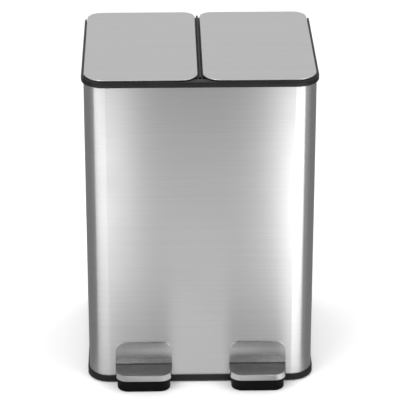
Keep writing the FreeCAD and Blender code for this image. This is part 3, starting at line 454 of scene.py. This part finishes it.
def set_out(name, pattern, places, material):
    """One object made of a copy of the pattern at each place, a matrix. The pattern is removed."""
    copies = []
    for place in places:
        copy = pattern.copy()
        copy.data = pattern.data.copy()
        copy.data.transform(place)
        bpy.context.scene.collection.objects.link(copy)
        copies.append(copy)
    bpy.data.objects.remove(pattern)
    start_fresh()
    for copy in copies:
        copy.select_set(True)
    bpy.context.view_layer.objects.active = copies[0]
    bpy.ops.object.join()
    piece = bpy.context.object
    piece.name = piece.data.name = name
    bpy.ops.object.shade_smooth_by_angle(angle=SMOOTH_BELOW)
    piece.data.materials.clear()
    piece.data.materials.append(material)
    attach(piece, "bin_body")
    return piece


# %% Screws in their places
SCREW_RADIUS, SCREW_HEAD, SHANK_RADIUS = 0.003, 0.002, 0.0013


def screw_places(node):
    """The X and Y of every screw of a node, from the node's box. Each pedal has the same pattern."""
    low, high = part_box(node)
    outer = high[0] - SCREW_RADIUS
    across = [side * x for side in (-1, 1) for x in (outer, 2 * PEDAL_MIDDLE - outer)]
    return [(x, y) for x in across for y in sorted({low[1] + SCREW_RADIUS, high[1] - SCREW_RADIUS})]


cap_low, cap_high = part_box("axle_cap_screws")
seat = cap_high[2] - SCREW_HEAD
places = screw_places("axle_cap_screws")
cap_screws = set_out("cap_cross_screws",
                     cross_screw(SCREW_RADIUS, SCREW_HEAD, SHANK_RADIUS, seat - cap_low[2]),
                     [Matrix.Translation((x, y, seat)) for x, y in places], inner_steel)
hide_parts("axle_cap_screws")
print("cap screws", len(places), "with", len(cap_screws.data.polygons), "faces")

# %% [markdown]
# The screws of the feet are the same ones turned over, in one row: the node's box is one head deep.

# %% Screws under the feet
foot_low, foot_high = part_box("stabiliser_screws")
turned = Matrix.Rotation(math.pi, 4, "X")
seat = foot_low[2] + SCREW_HEAD
row = round((foot_low[1] + foot_high[1]) / 2, 6)
places = sorted({(x, row) for x, y in screw_places("stabiliser_screws")})
foot_screws = set_out("foot_cross_screws",
                      cross_screw(SCREW_RADIUS, SCREW_HEAD, SHANK_RADIUS, foot_high[2] - seat),
                      [Matrix.Translation((x, y, seat)) @ turned for x, y in places], inner_steel)
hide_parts("stabiliser_screws")
print("foot screws", len(places), "with", len(foot_screws.data.polygons), "faces")

# %% [markdown]
# ## Spot welds down the rear seam
# The body is one sheet, bent round until its edges meet at the back, where a strip behind them holds
# both. The strip is spot welded, and every weld leaves a shallow ring on the outside. A bump could draw
# the rings, but they catch the light at a low angle, so they are real: a low disc whose middle is sunk.

# %% Weld marks
WELD_RADIUS, WELD_RISE, WELD_SINK = 0.0030, 0.0003, 0.0002
WELD_RIM, WELD_SLOPE = 0.25, 0.2          # shares of the radius
WELD_ROUND = 0.6                          # share of the rise
WELD_OUTSIDE = 0.97                       # share of the radius beyond which an edge is the outer one
WELD_ROWS, WELD_ASIDE = 10, 0.0075


def weld_mark():
    """A ring that stands on the XY plane, rounded outside and sunk in the middle."""
    start_fresh()
    bpy.ops.mesh.primitive_cylinder_add(vertices=24, radius=WELD_RADIUS, depth=WELD_RISE,
                                        location=(0, 0, WELD_RISE / 2))
    mark = bpy.context.object
    bpy.ops.object.transform_apply(location=True, rotation=True, scale=True)
    bpy.ops.object.mode_set(mode="EDIT")
    pick(faces=facing_up)
    bpy.ops.mesh.inset(thickness=WELD_RADIUS * WELD_RIM)
    bpy.ops.mesh.inset(thickness=WELD_RADIUS * WELD_SLOPE, depth=-WELD_SINK)
    pick(edges=lambda a, b: min(a.z, b.z) > WELD_RISE * NEARLY
         and min(a.xy.length, b.xy.length) > WELD_RADIUS * WELD_OUTSIDE)
    bpy.ops.mesh.bevel(offset=WELD_RISE * WELD_ROUND, segments=2, affect="EDGES")
    bpy.ops.object.mode_set(mode="OBJECT")
    return mark


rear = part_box("outer_shell")[1][1]
strip_low, strip_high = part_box("seam_strip")
facing_back = Matrix.Rotation(-math.pi / 2, 4, "X")
step = (strip_high[2] - strip_low[2]) / WELD_ROWS
heights = [strip_low[2] + step * (row + 0.5) for row in range(WELD_ROWS)]
marks = [Matrix.Translation((x, rear, z)) @ facing_back for z in heights for x in (-WELD_ASIDE, WELD_ASIDE)]
seam_welds = set_out("seam_welds", weld_mark(), marks, body_steel)
print("weld marks", len(marks), "from", round(heights[0], 3), "to", round(heights[-1], 3))

# %% [markdown]
# ## The studio
# Steel shows little of its own colour: it shows what stands round it, smeared by its grain. So the studio
# has cards as well as lamps, and only reflections see the cards. The camera looks down, so the front of
# the bin mirrors the floor ahead of it: a sheet there carries light bands, and a card at the sheet's far
# end, towards the camera, carries them on. The air above that card is dark, which keeps the rim, the
# treads and the lids' edges from filling with light. Darker cards at the sides draw the dark corners.

# %% Cards
SEEN_BY = ("visible_camera", "visible_diffuse", "visible_shadow", "visible_transmission",
           "visible_volume_scatter")
LEVEL, UPRIGHT, UPRIGHT_ASIDE = (0, 0, 0), (90, 0, 0), (90, 0, 90)


def card(name, middle, size, turn, material, hidden=True):
    """A flat sheet of size (width, height), turned by degrees about X, Y and Z."""
    start_fresh()
    bpy.ops.mesh.primitive_plane_add(size=1.0, location=middle)
    sheet = bpy.context.object
    sheet.name = name
    sheet.dimensions = (size[0], size[1], 0.0)
    sheet.rotation_euler = [math.radians(angle) for angle in turn]
    bpy.ops.object.transform_apply(location=True, rotation=True, scale=True)
    sheet.data.materials.append(material)
    if hidden:
        for flag in SEEN_BY:
            setattr(sheet, flag, False)
    return sheet


def glow(name, paint):
    """A card's light. paint takes the finish and gives the colour of the light."""
    f = Finish(name)
    light = f.node("ShaderNodeEmission", Color=paint(f), Strength=1.0)
    f.node("ShaderNodeOutputMaterial", Surface=light)
    return f.material


# %% Floor
FLOOR_SIZE = 16.0
floor_finish = Finish("floor_paper")
paper_tone = floor_finish.mix(floor_finish.noise(3.0), 0.86, 0.88)
paper = floor_finish.finish(Base_Color=paper_tone, Roughness=0.9)
floor = card("floor", (0, 0, 0), (FLOOR_SIZE, FLOOR_SIZE), LEVEL, paper, hidden=False)
print("floor", floor.dimensions[0], "m wide")

# %% [markdown]
# Each place on the sheet is mirrored by one place on the bin's front. Both lie on a line that drops at
# the camera's angle, so the height on the front follows from how far ahead the place lies, and its X
# shrinks a little with the distance. The bands are given where they show on the bin, in metres, and so
# are the pairs of places between which the light changes.

# %% The bands of light
FRONT_Y = -0.16
CAMERA_DROP = 0.466           # tangent of the angle at which the camera looks down
CAMERA_FAR = 3.7
BANDS = [(-0.40, 0.41), (-0.150, 0.43), (-0.085, 0.37), (0.150, 0.37), (0.193, 0.92), (0.40, 0.86)]
BAND_STRENGTH = 2.6
SIDE_GLOW, ABOVE_GLOW = 0.27, 0.20
CARD_DIMS = (0.20, 0.34)      # heights on the card
DARK_FANS = ((-1, 1.96), (1, 1.50))   # for each side, the tangent at which its corner turns dark
FAN_EDGE = (-0.16, 0.05)

# %% Where the light changes on the front
OUTER, LEFT = (0.08, 0.17), (-0.155, -0.085)          # distance from the middle, and X
UPPER, TOP, FOOT = (0.18, 0.45), (0.34, 0.54), (0.05, 0.32)
OUTER_GAIN, UPPER_LOSS, LEFT_GAIN = 0.85, 0.10, 1.6   # of contrast
OUTER_SHADE, FOOT_SHADE = 0.33, 0.16
PEDAL_ASIDE = (0.04, 0.065)                           # distance from a pedal's middle
BELOW_LIP, FLANGE_BEGINS, FLANGE_ENDS = (0.025, 0.05), (0.060, 0.070), (0.10, 0.13)
LIP_SHADE, FLANGE_SHADE = 0.94, 0.90


def front_light(f):
    ahead = FRONT_Y - f.axis("Y")
    across = f.axis("X") / (ahead / CAMERA_FAR + 1)
    height = f.axis("Z") + ahead * CAMERA_DROP
    low, high = BANDS[0][0], BANDS[-1][0]
    stops = [((place - low) / (high - low), light) for place, light in BANDS]
    bands = f.node("ShaderNodeValToRGB", {"stops": stops}, out="Color", Fac=(across - low) / (high - low))
    outer = f.ramp(abs(across), *OUTER)
    left = 1 - f.ramp(across, *LEFT)
    contrast = f.ramp(height, *UPPER) * (outer * OUTER_GAIN - UPPER_LOSS)
    contrast = contrast + f.ramp(height, *TOP) * left * LEFT_GAIN + 1
    shadow = 1 - (1 - f.ramp(height, *FOOT)) * (outer * OUTER_SHADE + FOOT_SHADE)
    before_pedal = 1 - f.ramp(abs(abs(across) - PEDAL_MIDDLE), *PEDAL_ASIDE)
    under_lip = 1 - f.ramp(height, *BELOW_LIP)
    before_flange = f.ramp(height, *FLANGE_BEGINS) - f.ramp(height, *FLANGE_ENDS)
    shadow = shadow * (1 - before_pedal * (under_lip * LIP_SHADE + before_flange * FLANGE_SHADE))
    light = f.scaled(bands, contrast * shadow * BAND_STRENGTH)
    light = f.mix(f.ramp(f.axis("Z"), *CARD_DIMS), light, ABOVE_GLOW)
    for side, fan in DARK_FANS:
        beside = f.ramp(f.axis("X") * side + f.axis("Y") * fan, *FAN_EDGE)
        light = f.mix(beside, light, SIDE_GLOW)
    return light


# %% The sheet and the card before the bin
CARD_WIDTH, CARD_HEIGHT, CARD_Y = 4.0, 1.6, -1.0
SHEET_DEPTH, SHEET_MIDDLE, SHEET_LIFT = 2.2, 0.1, 0.001
front_glow = glow("front_glow", front_light)
card("ground_card", (0, SHEET_MIDDLE, SHEET_LIFT), (CARD_WIDTH, SHEET_DEPTH), LEVEL, front_glow)
card("front_card", (0, CARD_Y, CARD_HEIGHT / 2), (CARD_WIDTH, CARD_HEIGHT), UPRIGHT, front_glow)

# %% [markdown]
# The side cards stand from a little ahead of the bin to well behind it. They're brighter towards the
# camera, where the bin's round front corners mirror them.

# %% Side cards
SIDE_CARDS = ((-1, "left_card", -0.50), (1, "right_card", -0.64))    # side, name and front end
SIDE_X, SIDE_BACK, SIDE_HEIGHT = 0.95, 1.2, 1.1
SIDE_RISE = 0.6


def side_light(f):
    return f.scaled((SIDE_GLOW,) * 3, 1 + (1 - f.ramp(f.axis("Y"), -0.5, 0.0)) * SIDE_RISE)


side_glow = glow("side_glow", side_light)
for side, name, front in SIDE_CARDS:
    middle = (side * SIDE_X, (front + SIDE_BACK) / 2, SIDE_HEIGHT / 2)
    card(name, middle, (SIDE_BACK - front, SIDE_HEIGHT), UPRIGHT_ASIDE, side_glow)

# %% [markdown]
# Three large lamps and a white world light the bin as a tent would. The lamp above would burn out the
# lids, which mirror it towards a high camera, so reflections don't see it.

# %% Lamps
LAMP_AIM = Vector((0, 0, 0.3))


def lamp(name, place, size, power):
    data = bpy.data.lights.new(name, "AREA")
    data.shape, data.size, data.energy = "SQUARE", size, power
    thing = bpy.data.objects.new(name, data)
    bpy.context.scene.collection.objects.link(thing)
    thing.location = place
    thing.rotation_euler = (LAMP_AIM - Vector(place)).to_track_quat("-Z", "Y").to_euler()
    return thing


lamp("key", (-1.8, -1.8, 3.0), 2.4, 60.0)
lamp("fill", (2.2, -1.2, 2.6), 2.4, 40.0)
top_lamp = lamp("top", (0.0, 0.8, 3.6), 3.0, 60.0)
top_lamp.visible_glossy = False

# %% World
WORLD_LIGHT = 0.75
world = bpy.data.worlds.new("studio")
bpy.context.scene.world = world
world.use_nodes = True
world.node_tree.nodes["Background"].inputs["Color"].default_value = (1, 1, 1, 1)
world.node_tree.nodes["Background"].inputs["Strength"].default_value = WORLD_LIGHT
